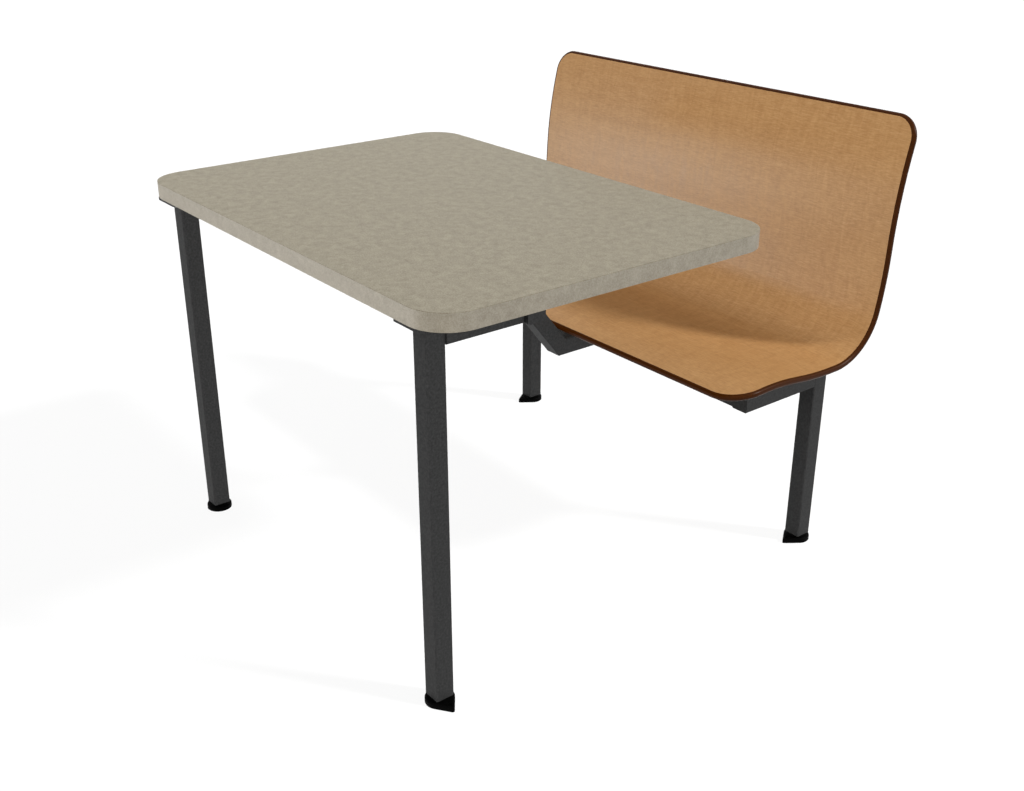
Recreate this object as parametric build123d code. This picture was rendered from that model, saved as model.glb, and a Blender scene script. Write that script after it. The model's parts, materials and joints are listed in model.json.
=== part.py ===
from build123d import *
from dataclasses import dataclass
import math
import os

# Table with attached bench. Sizes are in millimetres and angles in degrees.
# X = 0 is the centre line, Y = 0 the table's front edge with the bench behind it, Z = 0 the floor.
# The last lines move everything so that the origin lies under the middle of the whole.

# Tabletop: a board with a laminate face, a backing sheet and a band round its edge
tabletop_width = 1082.9
tabletop_depth = 768.8
tabletop_height = 780.6
tabletop_thickness = 32.9
tabletop_corner_radius = 76.2
tabletop_face_thickness = 1.2
tabletop_backer_thickness = 0.8
edge_band_thickness = 1.2

# Steel tube and plate, shared by the whole frame
tube_side = 38.1
wide_tube_width = 44.45
tube_wall = 1.9
tube_corner_radius = 3.0
plate_thickness = 6.35
plate_corner_radius = 4.0
cap_thickness = 2.4
cap_plug_depth = 10.0
cap_clearance = 0.05

# Table frame
table_leg_inset = 86.85
table_leg_setback = 46.1
leg_plate_width = 76.2
leg_plate_depth = 88.9
leg_plate_setback = 3.0
cross_tube_overhang = 33.4
cross_tube_setback = 221.5
cross_plate_width = 88.9
cross_plate_depth = 76.2
centre_plate_width = 152.4
centre_plate_depth = 215.9
centre_plate_gap = 9.0

# Arm that joins the table to the bench
arm_upper_bend_setback = 434.5
arm_lower_bend_setback = 696.3
arm_drop = 5.8

# Bench shell: the upper face seen from the side, from its front edge over the crest of the seat,
# through the bend and up the back
crest_setback = 792.5
crest_height = 461.85
crest_radius = 541.3
crest_front_length = 110.1
seat_fall_angle = 7.96
seat_radius = 719.8
seat_turn_angle = 9.85
bend_radius = 114.8
bend_turn_angle = 76.33
lumbar_radius = 759.3
lumbar_turn_angle = 9.86
upper_back_radius = 1000.8
upper_back_length = 272.8
shell_width = 1103.3
shell_thickness = 13.9
shell_edge_radius = 6.5
shell_front_corner_radius = 70.0
shell_top_corner_radius = 52.0
shell_laminate_thickness = 0.8
shell_laminate_reveal = 0.6
glue_line = 0.05

# Bench frame under the shell
bench_leg_inset = 74.45
bench_leg_behind_crest = 218.8
beam_front_ahead_of_crest = 12.1
strap_width = 88.9
strap_front_inset = 14.0
strap_to_beam_gap = 9.9
strap_clearance = 0.05
riser_length = 19.05
riser_front_inset = 36.0

# Screws that hold the tabletop, and bolts and T-nuts that hold the shell
screw_radius = 2.1
screw_head_radius = 4.5
screw_head_height = 3.0
screw_grip = 24.0
screw_hole_clearance = 0.5
screw_pilot_clearance = 0.1
screw_edge_distance = 11.0
bolt_radius = 3.1
bolt_head_width = 11.0
bolt_head_height = 4.4
bolt_hole_clearance = 0.4
bolt_end_distance = 30.0
bolt_edge_distance = 11.5
nut_flange_radius = 9.5
nut_flange_thickness = 1.2
nut_barrel_radius = 4.2
nut_barrel_length = 8.0
nut_clearance = 0.05

# Feet: a screwed stem that turns and travels in the leg, and a base that swivels on its end
stem_radius = 4.76
stem_length = 45.0
stem_clearance = 0.05
stem_chamfer = 1.2
collar_width = 14.3
collar_height = 3.9
journal_radius = 4.0
flange_radius = 7.5
flange_thickness = 2.5
axial_play = 0.1
flange_side_play = 0.5
insert_length = 25.0
insert_clearance = 0.05
base_radius = 28.0
base_height = 11.0
base_edge_radius = 3.4
lug_reach = 44.5
lug_tip_radius = 4.0
anchor_hole_radius = 3.25
anchor_hole_reach = 34.0
pad_radius = 24.0
pad_thickness = 2.0
pad_clearance = 0.05

# One length that runs every cut clear of what it cuts
overrun = 20.0

# Levels and places that follow from the sizes above
tabletop_underside = tabletop_height - tabletop_thickness
plate_underside = tabletop_underside - plate_thickness
foot_top = base_height + axial_play + collar_height
table_leg_x = tabletop_width / 2 - table_leg_inset
bench_leg_x = shell_width / 2 - bench_leg_inset
bench_leg_setback = crest_setback + bench_leg_behind_crest
beam_front = crest_setback - beam_front_ahead_of_crest
bench_leg_front = bench_leg_setback - tube_side / 2
bench_leg_rear = bench_leg_setback + tube_side / 2
sides = (("left", -1), ("right", 1))
corners = ((-1, -1), (1, -1), (1, 1), (-1, 1))


@dataclass
class Bend:
    """One arc of the shell's upper face; stations are lengths along the face from the crest."""
    start: float
    end: float
    heading: float
    radius: float
    sense: int
    centre: Vector


def face_normal(heading):
    """Direction out of the upper face where the face climbs at this heading above +Y."""
    climb = math.radians(heading)
    return Vector(0, -math.sin(climb), math.cos(climb))


def shell_bends():
    """Walk the tangent arcs of the upper face from the front edge to the top of the back."""
    front_heading = math.degrees(crest_front_length / crest_radius)
    upper_back_angle = math.degrees(upper_back_length / upper_back_radius)
    turns = (
        (-1, crest_radius, front_heading + seat_fall_angle),
        (1, seat_radius, seat_turn_angle),
        (1, bend_radius, bend_turn_angle),
        (1, lumbar_radius, lumbar_turn_angle),
        (-1, upper_back_radius, upper_back_angle),
    )
    crest_centre = Vector(0, crest_setback, crest_height - crest_radius)
    point = crest_centre + face_normal(front_heading) * crest_radius
    station = -crest_front_length
    heading = front_heading
    bends = []
    for sense, radius, turn in turns:
        centre = point + face_normal(heading) * (sense * radius)
        end = station + radius * math.radians(turn)
        bends.append(Bend(station, end, heading, radius, sense, centre))
        heading = heading + sense * turn
        point = centre - face_normal(heading) * (sense * radius)
        station = end
    return bends


bends = shell_bends()
shell_front = bends[0].start
shell_top = bends[-1].end


def shell_at(station, depth=0.0):
    """Point at this station and depth below the upper face, and the face's heading there."""
    bend = next((item for item in bends if station <= item.end), bends[-1])
    heading = bend.heading + bend.sense * math.degrees((station - bend.start) / bend.radius)
    reach = bend.sense * bend.radius + depth
    return bend.centre - face_normal(heading) * reach, heading


def shell_run(start, end, depth):
    """Arcs at one depth below the upper face, from one station to another."""
    arcs = []
    for bend in bends:
        first = max(start, bend.start)
        last = min(end, bend.end)
        if first < last:
            stations = (first, (first + last) / 2, last)
            arcs.append(ThreePointArc(*[shell_at(station, depth)[0] for station in stations]))
    return arcs


def shell_strip(start, end, near_depth, far_depth, width):
    """Slab that follows the shell between two stations and two depths, centred on X = 0."""
    near = shell_run(start, end, near_depth)
    far = shell_run(start, end, far_depth)
    start_line = Line(near[0] @ 0, far[0] @ 0)
    end_line = Line(near[-1] @ 1, far[-1] @ 1)
    return extrude(make_face(near + far + [start_line, end_line]), width / 2, both=True)


def station_over(setback):
    """Station of the seat at this distance behind the table's front edge."""
    low = shell_front
    high = bends[2].end
    while high - low > shell_thickness / 1e6:
        middle = (low + high) / 2
        if shell_at(middle)[0].Y < setback:
            low = middle
        else:
            high = middle
    return low


def short_edges(slab, thickness):
    """Straight edges that run through the thickness of a slab, from the lowest up."""
    lines = slab.edges().filter_by(GeomType.LINE)
    return lines.filter_by(lambda edge: edge.length < thickness * 2).sort_by(Axis.Z)


def shell_blank(inset, near_depth, far_depth):
    """Thick slab with the shell's rounded outline, drawn in all round by the inset."""
    width = shell_width - 2 * inset
    blank = shell_strip(shell_front + inset, shell_top - inset, near_depth, far_depth, width)
    thickness = far_depth - near_depth
    blank = fillet(short_edges(blank, thickness)[:2], shell_front_corner_radius - inset)
    return fillet(short_edges(blank, thickness)[-2:], shell_top_corner_radius - inset)


def shell_layer(blank, near_depth, far_depth):
    """What a slab holds between two depths below the upper face."""
    return blank & shell_strip(shell_front, shell_top, near_depth, far_depth, shell_width)


def rim_edges(sheet, thickness):
    """Edges round the two faces of a sheet, without those across its width or thickness."""
    across = sheet.edges().filter_by(lambda edge: edge.length > shell_width * 0.999)
    through = short_edges(sheet, thickness)
    return sheet.edges() - across - through


def face_plane(x, station, depth):
    """Plane square to the shell's face at this place, with Z out of the upper face."""
    origin, heading = shell_at(station, depth)
    return Plane(origin + Vector(x, 0, 0), x_dir=(1, 0, 0), z_dir=face_normal(heading))


def bar(radius, bottom, top):
    """Round bar on the Z axis between two levels."""
    return Pos(0, 0, bottom) * extrude(Circle(radius), top - bottom)


def hexagon(width, bottom, top):
    """Six-sided bar on the Z axis, measured across its flats."""
    return Pos(0, 0, bottom) * extrude(RegularPolygon(width / 2, 6, major_radius=False), top - bottom)


def tube_section(width, height):
    """Rounded rectangular tube section."""
    outer = RectangleRounded(width, height, tube_corner_radius)
    inner_radius = tube_corner_radius - tube_wall
    return outer - RectangleRounded(width - 2 * tube_wall, height - 2 * tube_wall, inner_radius)


def tube(start, end, width=tube_side, height=tube_side, across=(1, 0, 0)):
    """Straight tube from one point to another, its width along the across direction."""
    run = Vector(*end) - Vector(*start)
    plane = Plane(start, x_dir=across, z_dir=run)
    return extrude(plane * tube_section(width, height), run.length)


def tube_cap(end, outward, across=(1, 0, 0)):
    """Plate that closes a square tube, with a plug inside it; end is the plate's outer face."""
    plane = Plane(end, x_dir=across, z_dir=outward)
    plate = extrude(RectangleRounded(tube_side, tube_side, tube_corner_radius), -cap_thickness)
    plug_side = tube_side - 2 * (tube_wall + cap_clearance)
    plug = extrude(Rectangle(plug_side, plug_side), -cap_thickness - cap_plug_depth)
    plug = chamfer(plug.edges().filter_by(Axis.Z), tube_corner_radius - tube_wall)
    return plane * (plate + plug)


def plate(width, depth, x, y, holes=()):
    """Flat plate under the tabletop, centred at x and y, with holes at places from its centre."""
    blank = Pos(x, y, plate_underside) * extrude(
        RectangleRounded(width, depth, plate_corner_radius), plate_thickness
    )
    for hole_x, hole_y in holes:
        place = Pos(x + hole_x, y + hole_y, 0)
        blank -= place * bar(screw_radius + screw_hole_clearance, 0, tabletop_height)
    return blank


# Tabletop
def board(inset, bottom, top):
    """Rounded board as large as the tabletop less the inset, between two levels."""
    outline = RectangleRounded(
        tabletop_width - 2 * inset, tabletop_depth - 2 * inset, tabletop_corner_radius - inset
    )
    return Pos(0, tabletop_depth / 2, bottom) * extrude(outline, top - bottom)


face_underside = tabletop_height - tabletop_face_thickness
backer_top = tabletop_underside + tabletop_backer_thickness
tabletop_laminate = board(0, face_underside, tabletop_height)
tabletop_edge_band = board(0, tabletop_underside, face_underside)
tabletop_edge_band -= board(edge_band_thickness, 0, tabletop_height)
tabletop_core = board(edge_band_thickness, backer_top, face_underside)
tabletop_backer = board(edge_band_thickness, tabletop_underside, backer_top)

# Table legs, rails and cross tube
pieces = {}
leg_plate_centre = leg_plate_setback + leg_plate_depth / 2
leg_hole_x = leg_plate_width / 2 - screw_edge_distance
leg_hole_y = leg_plate_depth / 2 - screw_edge_distance
leg_holes = [(leg_hole_x * u, leg_hole_y * v) for u, v in corners]
cross_tube_centre = cross_tube_setback + tube_side / 2
cross_tube_rear = cross_tube_setback + tube_side
cross_tube_level = plate_underside - tube_side / 2
cross_hole_x = cross_plate_width / 2 - screw_edge_distance
cross_hole_y = cross_plate_depth / 2 - screw_edge_distance
cross_holes = [(cross_hole_x * u, cross_hole_y * v) for u, v in corners]
cross_plates = []
cross_caps = []
screw_places = []
for side, sign in sides:
    leg_x = sign * table_leg_x
    pieces["table_leg_" + side] = tube(
        (leg_x, table_leg_setback, foot_top), (leg_x, table_leg_setback, plate_underside)
    )
    pieces["leg_plate_" + side] = plate(
        leg_plate_width, leg_plate_depth, leg_x, leg_plate_centre, leg_holes
    )
    pieces["side_rail_" + side] = tube(
        (leg_x, table_leg_setback + tube_side / 2, cross_tube_level),
        (leg_x, cross_tube_setback, cross_tube_level),
        width=wide_tube_width,
    )
    cross_plates.append(plate(cross_plate_width, cross_plate_depth, leg_x, cross_tube_centre, cross_holes))
    cap_x = sign * (table_leg_x + cross_tube_overhang)
    cross_caps.append(tube_cap((cap_x, cross_tube_centre, cross_tube_level), (sign, 0, 0), (0, 1, 0)))
    screw_places += [(leg_x + x, leg_plate_centre + y) for x, y in leg_holes]
    screw_places += [(leg_x + x, cross_tube_centre + y) for x, y in cross_holes]

cross_tube_half = table_leg_x + cross_tube_overhang - cap_thickness
pieces["table_cross_tube"] = tube(
    (-cross_tube_half, cross_tube_centre, cross_tube_level),
    (cross_tube_half, cross_tube_centre, cross_tube_level),
    across=(0, 1, 0),
)
pieces["cross_tube_end_caps"] = Compound(children=cross_caps)
pieces["cross_tube_plates"] = Compound(children=cross_plates)

# Plate over the arm, under the middle of the tabletop
centre_plate_y = cross_tube_rear + centre_plate_gap + centre_plate_depth / 2
centre_hole_x = centre_plate_width / 2 - screw_edge_distance
centre_hole_y = centre_plate_depth / 2 - screw_edge_distance
centre_holes = [(centre_hole_x * u, centre_hole_y * v) for u in (-1, 1) for v in (-1, 0, 1)]
pieces["centre_support_plate"] = plate(
    centre_plate_width, centre_plate_depth, 0, centre_plate_y, centre_holes
)
screw_places += [(x, centre_plate_y + y) for x, y in centre_holes]

# Screws, and their holes in the backing sheet and the board
screw_top = tabletop_underside + screw_grip
screw = bar(screw_radius, plate_underside, screw_top)
screw += bar(screw_head_radius, plate_underside - screw_head_height, plate_underside)
pilot = bar(screw_radius + screw_pilot_clearance, tabletop_underside - overrun, screw_top)
for x, y in screw_places:
    tabletop_core -= Pos(x, y, 0) * pilot
    tabletop_backer -= Pos(x, y, 0) * pilot
pieces["tabletop_core"] = tabletop_core
pieces["tabletop_laminate"] = tabletop_laminate
pieces["tabletop_edge_band"] = tabletop_edge_band
pieces["tabletop_backer"] = tabletop_backer
pieces["tabletop_screws"] = Compound(children=[Pos(x, y, 0) * screw for x, y in screw_places])

# Bench frame: the lowest point of the strap under the seat sets the level of beams and legs
strap_near = shell_thickness + strap_clearance
strap_far = strap_near + plate_thickness
seat_low_station = bends[1].start + seat_radius * math.radians(-bends[1].heading)
beam_top = shell_at(seat_low_station, strap_far)[0].Z - strap_to_beam_gap
beam_level = beam_top - tube_side / 2
strap_start = station_over(beam_front + strap_front_inset)
strap_end = station_over(bench_leg_rear)
bolt_x = strap_width / 2 - bolt_edge_distance
bolt_stations = (strap_start + bolt_end_distance, strap_end - bolt_end_distance)

strap_blank = shell_strip(strap_start, strap_end, strap_near, strap_far, strap_width)
for x in (-bolt_x, bolt_x):
    for station in bolt_stations:
        hole = bar(bolt_radius + bolt_hole_clearance, -overrun, overrun)
        strap_blank -= face_plane(x, station, strap_near) * hole

above_strap = shell_strip(strap_start, strap_end, -overrun, strap_far, strap_width)
beam_caps = []
leg_caps = []
risers = []
for side, sign in sides:
    leg_x = sign * bench_leg_x
    pieces["bench_leg_" + side] = tube(
        (leg_x, bench_leg_setback, foot_top), (leg_x, bench_leg_setback, beam_top - cap_thickness)
    )
    pieces["seat_beam_" + side] = tube(
        (leg_x, beam_front + cap_thickness, beam_level), (leg_x, bench_leg_front, beam_level)
    )
    pieces["seat_strap_" + side] = Pos(leg_x, 0, 0) * strap_blank
    beam_caps.append(tube_cap((leg_x, beam_front, beam_level), (0, -1, 0)))
    leg_caps.append(tube_cap((leg_x, bench_leg_setback, beam_top), (0, 0, 1)))
    for riser_y in (beam_front + riser_front_inset, bench_leg_setback):
        block = extrude(Rectangle(tube_side, riser_length), crest_height - beam_top)
        block = Pos(0, riser_y, beam_top) * block - above_strap
        risers.append(Pos(leg_x, 0, 0) * block)

bench_tube_end = bench_leg_x - tube_side / 2
pieces["bench_cross_tube"] = tube(
    (-bench_tube_end, bench_leg_setback, beam_level),
    (bench_tube_end, bench_leg_setback, beam_level),
    across=(0, 1, 0),
)
pieces["seat_beam_end_caps"] = Compound(children=beam_caps)
pieces["bench_leg_caps"] = Compound(children=leg_caps)
pieces["seat_strap_risers"] = Compound(children=risers)

# Arm: three mitred tubes from the table's cross tube down to the bench's
arm_low_level = beam_top - tube_side / 2 - arm_drop
arm_points = (
    Vector(0, cross_tube_rear, cross_tube_level),
    Vector(0, arm_upper_bend_setback, cross_tube_level),
    Vector(0, arm_lower_bend_setback, arm_low_level),
    Vector(0, bench_leg_front, arm_low_level),
)
arm_headings = [(arm_points[i + 1] - arm_points[i]).normalized() for i in range(3)]
for index, name in enumerate(("arm_upper_run", "arm_riser", "arm_lower_run")):
    start = arm_points[index]
    end = arm_points[index + 1]
    heading = arm_headings[index]
    if index > 0:
        start = start - heading * wide_tube_width
    if index < 2:
        end = end + heading * wide_tube_width
    run = tube(start, end, width=wide_tube_width)
    if index > 0:
        mitre = Plane(arm_points[index], x_dir=(1, 0, 0), z_dir=arm_headings[index - 1] + heading)
        run = split(run, bisect_by=mitre, keep=Keep.TOP)
    if index < 2:
        mitre = Plane(arm_points[index + 1], x_dir=(1, 0, 0), z_dir=heading + arm_headings[index + 1])
        run = split(run, bisect_by=mitre, keep=Keep.BOTTOM)
    pieces[name] = run

# Bench shell: one bent board with fully rounded edges, a laminate let into each face
shell = shell_blank(0, 0, shell_thickness)
shell = fillet(rim_edges(shell, shell_thickness), shell_edge_radius)
laminate_inset = shell_edge_radius + shell_laminate_reveal
back_depth = shell_thickness - shell_laminate_thickness
above = -overrun / 2
below = shell_thickness + overrun / 2
laminate_blank = shell_blank(laminate_inset, above, below)
recess_blank = shell_blank(laminate_inset - glue_line, above, below)
face_laminate = shell_layer(laminate_blank, 0, shell_laminate_thickness - glue_line)
back_laminate = shell_layer(laminate_blank, back_depth + glue_line, shell_thickness)
shell -= shell_layer(recess_blank, above, shell_laminate_thickness)
shell -= shell_layer(recess_blank, back_depth, below)

# Bolts rise through strap and shell into T-nuts under the face laminate
nut_top = shell_laminate_thickness
nut = bar(nut_flange_radius, -nut_flange_thickness, 0)
nut += bar(nut_barrel_radius, -nut_flange_thickness - nut_barrel_length, 0)
nut -= bar(bolt_radius + nut_clearance, -overrun, overrun)
nut_seat = bar(nut_flange_radius + nut_clearance, -nut_flange_thickness - nut_clearance, overrun)
nut_seat += bar(nut_barrel_radius + nut_clearance, -overrun, overrun)
bolt_reach = strap_far - nut_top - nut_clearance
bolt = bar(bolt_radius, 0, bolt_reach) + hexagon(bolt_head_width, -bolt_head_height, 0)
bolts = []
nuts = []
for side, sign in sides:
    for offset in (-bolt_x, bolt_x):
        x = sign * bench_leg_x + offset
        for station in bolt_stations:
            shell -= face_plane(x, station, nut_top) * nut_seat
            back_laminate -= face_plane(x, station, nut_top) * bar(nut_barrel_radius, -overrun, 0)
            nuts.append(face_plane(x, station, nut_top) * nut)
            bolts.append(face_plane(x, station, strap_far) * bolt)
pieces["bench_shell_core"] = shell
pieces["bench_face_laminate"] = face_laminate
pieces["bench_back_laminate"] = back_laminate
pieces["seat_bolts"] = Compound(children=bolts)
pieces["seat_t_nuts"] = Compound(children=nuts)

# Feet
insert_side = tube_side - 2 * (tube_wall + insert_clearance)
insert = Pos(0, 0, foot_top) * extrude(Rectangle(insert_side, insert_side), insert_length)
insert = chamfer(insert.edges().filter_by(Axis.Z), tube_corner_radius - tube_wall)
insert -= bar(stem_radius + stem_clearance, 0, foot_top + insert_length + overrun)

flange_bottom = pad_thickness + axial_play
flange_top = flange_bottom + flange_thickness
shank = bar(stem_radius, foot_top, foot_top + stem_length)
shank = chamfer(shank.edges().sort_by(Axis.Z)[-1], stem_chamfer)
stem = shank + hexagon(collar_width, foot_top - collar_height, foot_top)
stem += bar(journal_radius, flange_top, foot_top - collar_height)
stem += bar(flange_radius, flange_bottom, flange_top)

lug_centre = Pos(lug_reach - lug_tip_radius, 0)
outline = make_hull([Circle(base_radius).edge(), (lug_centre * Circle(lug_tip_radius)).edge()])
base = extrude(outline, base_height)
base = fillet(base.faces().sort_by(Axis.Z)[-1].edges(), base_edge_radius)
base -= bar(journal_radius + stem_clearance, 0, base_height)
base -= bar(flange_radius + flange_side_play, 0, flange_top + axial_play)
base -= bar(pad_radius + pad_clearance, 0, pad_thickness)
base -= Pos(anchor_hole_reach, 0, 0) * bar(anchor_hole_radius, 0, base_height)
pad = bar(pad_radius, 0, pad_thickness)

# Where each foot stands and which way its lug points
feet = (
    ("table_left", -table_leg_x, table_leg_setback, 180),
    ("table_right", table_leg_x, table_leg_setback, 0),
    ("bench_left", -bench_leg_x, bench_leg_setback, -90),
    ("bench_right", bench_leg_x, bench_leg_setback, -90),
)
for name, x, y, lug_angle in feet:
    place = Pos(x, y, 0)
    pieces["foot_insert_" + name] = place * insert
    pieces["glide_stem_" + name] = place * stem
    pieces["glide_base_" + name] = place * Rot(0, 0, lug_angle) * base
    pieces["glide_pad_" + name] = place * pad

# Origin under the middle of the whole: the shell's back is the rearmost point
overall_depth = pieces["bench_shell_core"].bounding_box().max.Y
print("overall depth", overall_depth, "beam top", beam_top)
os.makedirs("parts", exist_ok=True)
for name, piece in pieces.items():
    export_step(Pos(0, -overall_depth / 2, 0) * piece, "parts/" + name + ".step")
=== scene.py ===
import json
import math

import bmesh
import bpy
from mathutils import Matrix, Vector


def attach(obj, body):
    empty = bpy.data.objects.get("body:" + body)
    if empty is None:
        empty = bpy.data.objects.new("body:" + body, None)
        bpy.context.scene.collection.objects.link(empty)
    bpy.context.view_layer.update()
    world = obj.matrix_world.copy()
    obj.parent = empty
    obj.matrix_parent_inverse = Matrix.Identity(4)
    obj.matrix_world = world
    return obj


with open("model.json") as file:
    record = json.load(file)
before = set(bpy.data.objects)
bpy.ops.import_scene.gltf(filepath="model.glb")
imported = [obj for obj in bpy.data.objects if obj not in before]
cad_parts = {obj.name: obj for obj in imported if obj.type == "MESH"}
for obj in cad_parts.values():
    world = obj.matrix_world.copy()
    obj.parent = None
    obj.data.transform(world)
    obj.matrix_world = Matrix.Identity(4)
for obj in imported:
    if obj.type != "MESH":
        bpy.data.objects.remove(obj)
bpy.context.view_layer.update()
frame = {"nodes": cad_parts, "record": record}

scene = bpy.context.scene
nodes = frame["nodes"]
slots = {entry["node"]: entry["material_slot"] for entry in frame["record"]["subparts"]}

MM = 0.001
WHITE = (1.0, 1.0, 1.0)
QUARTER_TURN = math.pi / 2

# Sockets of the Mix node when it mixes colours
MIX_FACTOR = 0
MIX_FIRST = 6
MIX_SECOND = 7
MIX_RESULT = 2


# Colour and node helpers
def srgb(red, green, blue):
    """Linear colour, with alpha, from 0 to 255 screen values, by the sRGB standard's curve."""
    linear = []
    for value in (red, green, blue):
        share = value / 255
        linear.append(share / 12.92 if share <= 0.04045 else ((share + 0.055) / 1.055) ** 2.4)
    return (*linear, 1.0)


class Shader:
    """A new material with its Principled shader and short ways to add nodes to it."""

    def __init__(self, name, roughness, specular=0.5, metallic=0.0):
        self.material = bpy.data.materials.new(name)
        self.material.use_nodes = True
        self.tree = self.material.node_tree
        self.main = self.tree.nodes["Principled BSDF"]
        self.main.inputs["Roughness"].default_value = roughness
        self.main.inputs["Specular IOR Level"].default_value = specular
        self.main.inputs["Metallic"].default_value = metallic
        self.place = self.add("ShaderNodeTexCoord").outputs["Object"]

    def add(self, kind):
        return self.tree.nodes.new(kind)

    def link(self, output, socket):
        self.tree.links.new(output, socket)

    def noise(self, scale, detail=3.0, roughness=0.5, distortion=0.0):
        """Noise from 0 to 1, with the scale's number of grains per metre along X, Y and Z."""
        mapping = self.add("ShaderNodeMapping")
        mapping.inputs["Scale"].default_value = scale
        self.link(self.place, mapping.inputs["Vector"])
        node = self.add("ShaderNodeTexNoise")
        node.inputs["Scale"].default_value = 1.0
        node.inputs["Detail"].default_value = detail
        node.inputs["Roughness"].default_value = roughness
        node.inputs["Distortion"].default_value = distortion
        self.link(mapping.outputs["Vector"], node.inputs["Vector"])
        return node.outputs["Fac"]

    def ramp(self, pattern, stops):
        """Colours along a pattern, from (place, 0 to 255 screen colour) stops."""
        node = self.add("ShaderNodeValToRGB")
        elements = node.color_ramp.elements
        while len(elements) < len(stops):
            elements.new(0.5)
        for element, (place, colour) in zip(elements, stops):
            element.position = place
            element.color = srgb(*colour)
        self.link(pattern, node.inputs["Fac"])
        return node.outputs["Color"]

    def mix(self, first, second, share):
        """Two colours, with the given share of the second."""
        node = self.add("ShaderNodeMix")
        node.data_type = "RGBA"
        node.inputs[MIX_FACTOR].default_value = share
        self.link(first, node.inputs[MIX_FIRST])
        self.link(second, node.inputs[MIX_SECOND])
        return node.outputs[MIX_RESULT]

    def colour(self, output):
        self.link(output, self.main.inputs["Base Color"])

    def roughen(self, pattern, low, high):
        """Roughness that follows a pattern between two values."""
        node = self.add("ShaderNodeMapRange")
        node.inputs["To Min"].default_value = low
        node.inputs["To Max"].default_value = high
        self.link(pattern, node.inputs["Value"])
        self.link(node.outputs["Result"], self.main.inputs["Roughness"])

    def bump(self, height, strength, distance=0.0002):
        node = self.add("ShaderNodeBump")
        node.inputs["Strength"].default_value = strength
        node.inputs["Distance"].default_value = distance
        self.link(height, node.inputs["Height"])
        self.link(node.outputs["Normal"], self.main.inputs["Normal"])


# Materials
GREIGE = (163, 155, 138)
GREIGE_PATCHES = ((0.30, -13), (0.50, 0), (0.72, 12))
GREIGE_FLECKS = ((0.36, -25), (0.50, -1), (0.66, 21))
MAPLE = (192, 145, 93)


def greige_stops(steps, shade, contrast):
    """Ramp stops from (place, step lighter or darker than greige), times a shade for each channel."""
    stops = []
    for place, step in steps:
        stops.append((place, [(value + step * contrast) * part for value, part in zip(GREIGE, shade)]))
    return stops


def tabletop_laminate(name, shade, contrast):
    """Greige laminate: soft patches of two tones with fine darker and paler flecks."""
    shader = Shader(name, roughness=0.5, specular=0.22)
    patches = shader.noise((55, 55, 55), detail=5, roughness=0.62, distortion=0.4)
    flecks = shader.noise((420, 420, 420), detail=2)
    patch_tone = shader.ramp(patches, greige_stops(GREIGE_PATCHES, shade, contrast))
    fleck_tone = shader.ramp(flecks, greige_stops(GREIGE_FLECKS, shade, contrast))
    shader.colour(shader.mix(patch_tone, fleck_tone, share=0.35))
    shader.roughen(patches, low=0.46, high=0.56)
    shader.bump(flecks, strength=0.08)
    return shader.material


def woodgrain_laminate():
    """Maple woodgrain that runs along the bench: broad tone, streaks, fibres and cross figure."""
    shader = Shader("woodgrain_laminate", roughness=0.45, specular=0.25)
    broad = shader.noise((1.6, 5, 5), detail=3, distortion=0.6)
    streaks = shader.noise((4, 60, 60), detail=6, roughness=0.65, distortion=0.9)
    fibres = shader.noise((60, 420, 420), detail=4, roughness=0.7)
    figure = shader.noise((60, 14, 14), detail=5, roughness=0.65, distortion=1.2)
    wood = shader.ramp(broad, [(0.32, (184, 137, 85)), (0.52, MAPLE), (0.74, (200, 154, 102))])
    streak_tone = shader.ramp(streaks, [(0.30, (166, 119, 70)), (0.50, MAPLE), (0.70, (213, 168, 117))])
    fibre_tone = shader.ramp(fibres, [(0.34, (132, 86, 44)), (0.52, MAPLE), (0.72, (236, 194, 146))])
    figure_tone = shader.ramp(figure, [(0.34, (176, 129, 79)), (0.66, (208, 162, 109))])
    wood = shader.mix(wood, streak_tone, share=0.40)
    wood = shader.mix(wood, fibre_tone, share=0.34)
    shader.colour(shader.mix(wood, figure_tone, share=0.32))
    shader.roughen(figure, low=0.40, high=0.50)
    shader.bump(fibres, strength=0.06)
    return shader.material


def lacquered_edge():
    """Dark brown lacquer over the ply edge, with faint layers showing through."""
    shader = Shader("lacquered_edge", roughness=0.32, specular=0.07)
    layers = shader.noise((6, 500, 500))
    shader.colour(shader.ramp(layers, [(0.3, (54, 24, 2)), (0.7, (76, 38, 7))]))
    shader.bump(layers, strength=0.1)
    return shader.material


def powder_coat():
    """Satin charcoal powder coat with a fine orange-peel surface."""
    shader = Shader("charcoal_powder_coat", roughness=0.55, specular=0.09)
    peel = shader.noise((700, 700, 700), detail=2)
    speckle = shader.noise((230, 230, 230), detail=4, roughness=0.7)
    shader.colour(shader.ramp(speckle, [(0.34, (42, 42, 42)), (0.5, (51, 51, 51)), (0.66, (60, 60, 60))]))
    shader.roughen(peel, low=0.50, high=0.62)
    shader.bump(peel, strength=0.18)
    return shader.material


def moulded_black(name, darkest, palest, roughness):
    """Moulded black polymer with a fine spark-eroded grain."""
    shader = Shader(name, roughness=roughness, specular=0.02)
    grain = shader.noise((900, 900, 900), detail=2)
    shader.colour(shader.ramp(grain, [(0.3, (darkest, darkest, darkest)), (0.7, (palest, palest, palest))]))
    shader.bump(grain, strength=0.15, distance=0.0001)
    return shader.material


def zinc_plate():
    """Zinc-plated steel with a slightly cloudy passivated film."""
    shader = Shader("zinc_plate", roughness=0.35, metallic=1.0)
    cloud = shader.noise((260, 260, 260))
    shader.colour(shader.ramp(cloud, [(0.3, (168, 170, 172)), (0.7, (204, 205, 204))]))
    shader.roughen(cloud, low=0.28, high=0.45)
    return shader.material


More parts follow.
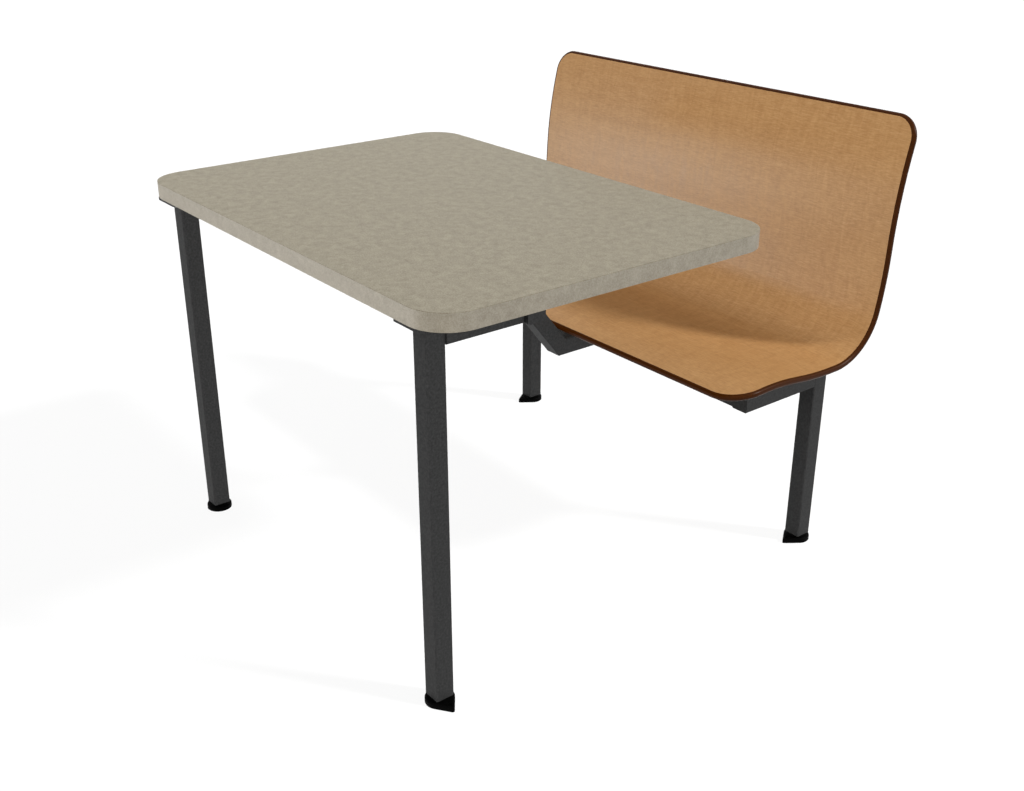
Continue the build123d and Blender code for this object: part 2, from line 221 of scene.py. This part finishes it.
def particle_board():
    """Pressed wood chips, seen only inside the tabletop."""
    shader = Shader("particle_board", roughness=0.85, specular=0.2)
    chips = shader.noise((220, 120, 220), detail=5, roughness=0.7)
    shader.colour(shader.ramp(chips, [(0.3, (146, 112, 72)), (0.7, (205, 173, 128))]))
    shader.bump(chips, strength=0.3, distance=0.0004)
    return shader.material


def backing_sheet():
    """Plain dark phenolic sheet with a sanded, faintly streaked face."""
    shader = Shader("backing_sheet", roughness=0.6, specular=0.3)
    streaks = shader.noise((12, 180, 12))
    shader.colour(shader.ramp(streaks, [(0.3, (66, 58, 48)), (0.7, (82, 73, 62))]))
    shader.bump(streaks, strength=0.08)
    return shader.material


def nodes_of(slot_name):
    """The CAD nodes that a material slot covers."""
    return [nodes[name] for name, slot in slots.items() if slot == slot_name]


def dress(material, pieces):
    """Give one material to CAD nodes."""
    for piece in pieces:
        mesh = piece.data
        mesh.materials.clear()
        mesh.materials.append(material)
        for polygon in mesh.polygons:
            polygon.material_index = 0


slot_materials = {
    "tabletop_face": tabletop_laminate("greige_laminate", shade=(0.965, 0.962, 0.942), contrast=1.5),
    "board": particle_board(),
    "backing_sheet": backing_sheet(),
    "charcoal_steel": powder_coat(),
    "zinc_steel": zinc_plate(),
    "stem_steel": zinc_plate(),
    "shell_edge": lacquered_edge(),
    "woodgrain_face": woodgrain_laminate(),
    "black_plastic": moulded_black("black_nylon", darkest=2, palest=7, roughness=0.5),
    "pad_plastic": moulded_black("black_pad", darkest=14, palest=19, roughness=0.6),
}
for slot_name, material in slot_materials.items():
    dress(material, nodes_of(slot_name))
# The edge band gets its own paler, bluer copy of the top's greige laminate: painted highlight that stands in
# for the extra light its front face catches.
edge_band = nodes["tabletop_edge_band"]
dress(tabletop_laminate("greige_edge_band_painted_highlight", shade=(1.025, 1.03, 1.05), contrast=1.0), [edge_band])


# Steel pieces that the CAD lacks. Lengths are in mm, with y from the table's front edge and z from the floor
FOOTPRINT_HALF = 586.3075
ARM_HALF = 22.2

GUSSET_THICKNESS = 6.0
GUSSET_EDGE = 0.8
GUSSET_EDGE_STEPS = 2
ROUND_PROFILE = 0.5
GUSSET_OUTLINE = ((687.4, 435.6), (698.5, 435.6), (712.3, 425.4), (723.0, 413.6), (705.4, 413.6))

TUBE_SIDE = 38.1
TUBE_CORNER = 3.0
TUBE_CORNER_STEPS = 6
FRONT_TUBE_FACE = 782.8
FRONT_TUBE_TOP = 419.5
BEAM_INNER_FACE = 458.15


def swept(outline, start, end):
    """Closed shape from an outline of (y, z) points that is swept along X.

    Its faces are made one by one, because extruding lists them in another order each run.
    """
    shape = bmesh.new()
    rings = []
    for x in (start, end):
        points = [(x * MM, (y - FOOTPRINT_HALF) * MM, z * MM) for y, z in outline]
        rings.append([shape.verts.new(point) for point in points])
    near, far = rings
    shape.faces.new(near)
    shape.faces.new(far)
    for index in range(len(outline)):
        shape.faces.new((near[index - 1], near[index], far[index], far[index - 1]))
    bmesh.ops.recalc_face_normals(shape, faces=shape.faces)
    return shape


def steel_piece(name, shape):
    """Scene object in the frame's powder coat, fixed to the frame, from a finished shape."""
    mesh = bpy.data.meshes.new(name)
    shape.to_mesh(mesh)
    shape.free()
    mesh.materials.append(slot_materials["charcoal_steel"])
    piece = bpy.data.objects.new(name, mesh)
    scene.collection.objects.link(piece)
    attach(piece, "frame")
    return piece


def arm_gusset():
    """Plate with eased edges in the arm's middle plane, over the lower run and close under the shell."""
    plate = swept(GUSSET_OUTLINE, GUSSET_THICKNESS / 2, -GUSSET_THICKNESS / 2)
    bmesh.ops.bevel(
        plate,
        geom=plate.edges[:],
        offset=GUSSET_EDGE * MM,
        segments=GUSSET_EDGE_STEPS,
        affect="EDGES",
        profile=ROUND_PROFILE,
    )
    return steel_piece("arm_gusset", plate)


def tube_outline(middle_y, middle_z):
    """Outline of a square tube with rounded corners."""
    reach = TUBE_SIDE / 2 - TUBE_CORNER
    outline = []
    for quarter, (side_y, side_z) in enumerate(((1, 1), (-1, 1), (-1, -1), (1, -1))):
        for step in range(TUBE_CORNER_STEPS + 1):
            turn = QUARTER_TURN * (quarter + step / TUBE_CORNER_STEPS)
            y = middle_y + side_y * reach + TUBE_CORNER * math.cos(turn)
            z = middle_z + side_z * reach + TUBE_CORNER * math.sin(turn)
            outline.append((y, z))
    return outline


def front_tube(side, sign):
    """Tube under the seat's front edge, welded between the arm and a seat beam."""
    outline = tube_outline(FRONT_TUBE_FACE + TUBE_SIDE / 2, FRONT_TUBE_TOP - TUBE_SIDE / 2)
    run = swept(outline, sign * ARM_HALF, sign * BEAM_INNER_FACE)
    for face in run.faces:
        face.smooth = len(face.verts) == 4
    for edge in run.edges:
        edge.smooth = all(face.smooth for face in edge.link_faces)
    return steel_piece(f"bench_front_tube_{side}", run)


added_steel = [arm_gusset(), front_tube("left", -1), front_tube("right", 1)]


# Stage: floor and surroundings, white for the camera and in reflections, dim for the light on the object
FLOOR_HALF = 30.0
FLOOR_SEEN = 0.28
FLOOR_CLEAR = 0.84
FLOOR_UNSEEN = 0.35
SKY_SEEN = 1.0
SKY_LIGHT = 0.14


def seen_or_not(tree, seen, unseen):
    """One shader for camera, glossy and transmission rays, and another for all other rays."""
    path = tree.nodes.new("ShaderNodeLightPath")
    share = path.outputs["Is Camera Ray"]
    for kind in ("Is Glossy Ray", "Is Transmission Ray"):
        larger = tree.nodes.new("ShaderNodeMath")
        larger.operation = "MAXIMUM"
        tree.links.new(share, larger.inputs[0])
        tree.links.new(path.outputs[kind], larger.inputs[1])
        share = larger.outputs[0]
    mix = tree.nodes.new("ShaderNodeMixShader")
    tree.links.new(share, mix.inputs["Fac"])
    tree.links.new(unseen, mix.inputs[1])
    tree.links.new(seen, mix.inputs[2])
    return mix.outputs[0]


def grey(tree, kind, level):
    """Plain shader of one kind, in a grey level."""
    node = tree.nodes.new(kind)
    node.inputs["Color"].default_value = (level, level, level, 1.0)
    return node.outputs[0]


def floor_material():
    """Diffuse grey that keeps the shadow, which the camera sees with most of what lies behind it."""
    material = bpy.data.materials.new("floor")
    material.use_nodes = True
    tree = material.node_tree
    tree.nodes.remove(tree.nodes["Principled BSDF"])
    seen = tree.nodes.new("ShaderNodeAddShader")
    tree.links.new(grey(tree, "ShaderNodeBsdfDiffuse", FLOOR_SEEN), seen.inputs[0])
    tree.links.new(grey(tree, "ShaderNodeBsdfTransparent", FLOOR_CLEAR), seen.inputs[1])
    unseen = grey(tree, "ShaderNodeBsdfDiffuse", FLOOR_UNSEEN)
    surface = tree.nodes["Material Output"].inputs["Surface"]
    tree.links.new(seen_or_not(tree, seen.outputs[0], unseen), surface)
    return material


def wide_floor():
    """Level floor that reaches far past the object."""
    corners = [(x * FLOOR_HALF, y * FLOOR_HALF, 0) for x, y in ((-1, -1), (1, -1), (1, 1), (-1, 1))]
    mesh = bpy.data.meshes.new("floor")
    mesh.from_pydata(corners, [], [(0, 1, 2, 3)])
    mesh.materials.append(floor_material())
    floor = bpy.data.objects.new("floor", mesh)
    scene.collection.objects.link(floor)
    return floor


def studio_world():
    """White surroundings to look at, and a faint light from all sides."""
    world = bpy.data.worlds.new("studio")
    scene.world = world
    world.use_nodes = True
    tree = world.node_tree
    parts = []
    for level in (SKY_SEEN, SKY_LIGHT):
        background = tree.nodes.new("ShaderNodeBackground")
        background.inputs["Color"].default_value = (*WHITE, 1.0)
        background.inputs["Strength"].default_value = level
        parts.append(background.outputs[0])
    surface = tree.nodes["World Output"].inputs["Surface"]
    tree.links.new(seen_or_not(tree, *parts), surface)


stage_floor = wide_floor()
studio_world()


# Suns: name, strength, colour and the direction that the light comes from
FILL_LIGHT = ("fill_light", 1.85, WHITE, (0.0, -1.60, 1.00))
REAR_LIGHT = ("rear_light", 2.25, WHITE, (1.05, 0.80, 1.0))
STEEL_LIGHTS = (
    ("steel_right", 2.4, WHITE, (1.0, 0.0, 0.35)),
    ("steel_behind", 2.0, WHITE, (-0.8, 1.0, 0.35)),
)
EDGE_LIGHT = ("edge_front", 0.52, (1.0, 0.85, 0.6), (0.3, -1.0, 0.0))
SOFT_SPREAD = math.radians(60)
REAR_SPREAD = math.radians(8)

# Sheen lamps: node that one lights, power, colour and place
SHEEN_LIGHTS = (
    ("bench_face_laminate", 38.0, (0.70, 0.92, 1.0), (-2.1, -1.6, 0.32)),
    ("tabletop_edge_band", 150.0, WHITE, (-2.3, -3.7, 0.4)),
)
SHEEN_SIZE = 0.4
SHEEN_TARGET = (0.0, 0.45, 0.85)


def add_lamp(kind, name, power, colour, aim, receivers):
    """New lamp at the origin that shines from the aim direction, on the receivers or, with none, on all."""
    data = bpy.data.lights.new(name, kind)
    data.energy = power
    data.color = colour
    lamp = bpy.data.objects.new(name, data)
    lamp.rotation_euler = Vector(aim).to_track_quat("Z", "Y").to_euler()
    scene.collection.objects.link(lamp)
    if receivers:
        lit = bpy.data.collections.new(name)
        for piece in receivers:
            lit.objects.link(piece)
        lamp.light_linking.receiver_collection = lit
    return lamp


def soft_sun(settings, receivers=()):
    """Broad sun that casts no shadow and isn't seen in reflections."""
    lamp = add_lamp("SUN", *settings, receivers)
    lamp.data.angle = SOFT_SPREAD
    lamp.data.use_shadow = False
    lamp.visible_glossy = False


def rear_sun(receivers):
    """Narrower sun from behind on the right, which casts the shadows."""
    lamp = add_lamp("SUN", *REAR_LIGHT, receivers)
    lamp.data.angle = REAR_SPREAD


def sheen_lamp(node_name, power, colour, place):
    """Small lamp that is seen only as the sheen on one node."""
    aim = Vector(place) - Vector(SHEEN_TARGET)
    lamp = add_lamp("AREA", f"sheen_{node_name}", power, colour, aim, [nodes[node_name]])
    lamp.location = place
    lamp.data.size = SHEEN_SIZE
    lamp.visible_diffuse = False


# The frame's steel has suns of its own in place of the rear one
frame_steel = nodes_of("charcoal_steel") + added_steel
other_pieces = [piece for piece in nodes.values() if piece not in frame_steel]
soft_sun(FILL_LIGHT)
rear_sun(other_pieces + [stage_floor])
for steel_light in STEEL_LIGHTS:
    soft_sun(steel_light, frame_steel)
soft_sun(EDGE_LIGHT, [edge_band])
for sheen_light in SHEEN_LIGHTS:
    sheen_lamp(*sheen_light)


# Camera, as the photograph's: place in metres, angles in degrees, lens and film in mm
CAMERA_PLACE = (1.959, -1.5473, 1.434)
CAMERA_DOWN = 24.458
CAMERA_TURN = 52.014
CAMERA_LENS = 42.903
CAMERA_FILM = 36.0

camera_data = bpy.data.cameras.new("camera")
camera_data.lens = CAMERA_LENS
camera_data.sensor_width = CAMERA_FILM
camera = bpy.data.objects.new("camera", camera_data)
camera.location = CAMERA_PLACE
camera.rotation_euler = (QUARTER_TURN - math.radians(CAMERA_DOWN), 0, math.radians(CAMERA_TURN))
scene.collection.objects.link(camera)
scene.camera = camera
scene.view_settings.view_transform = "Standard"
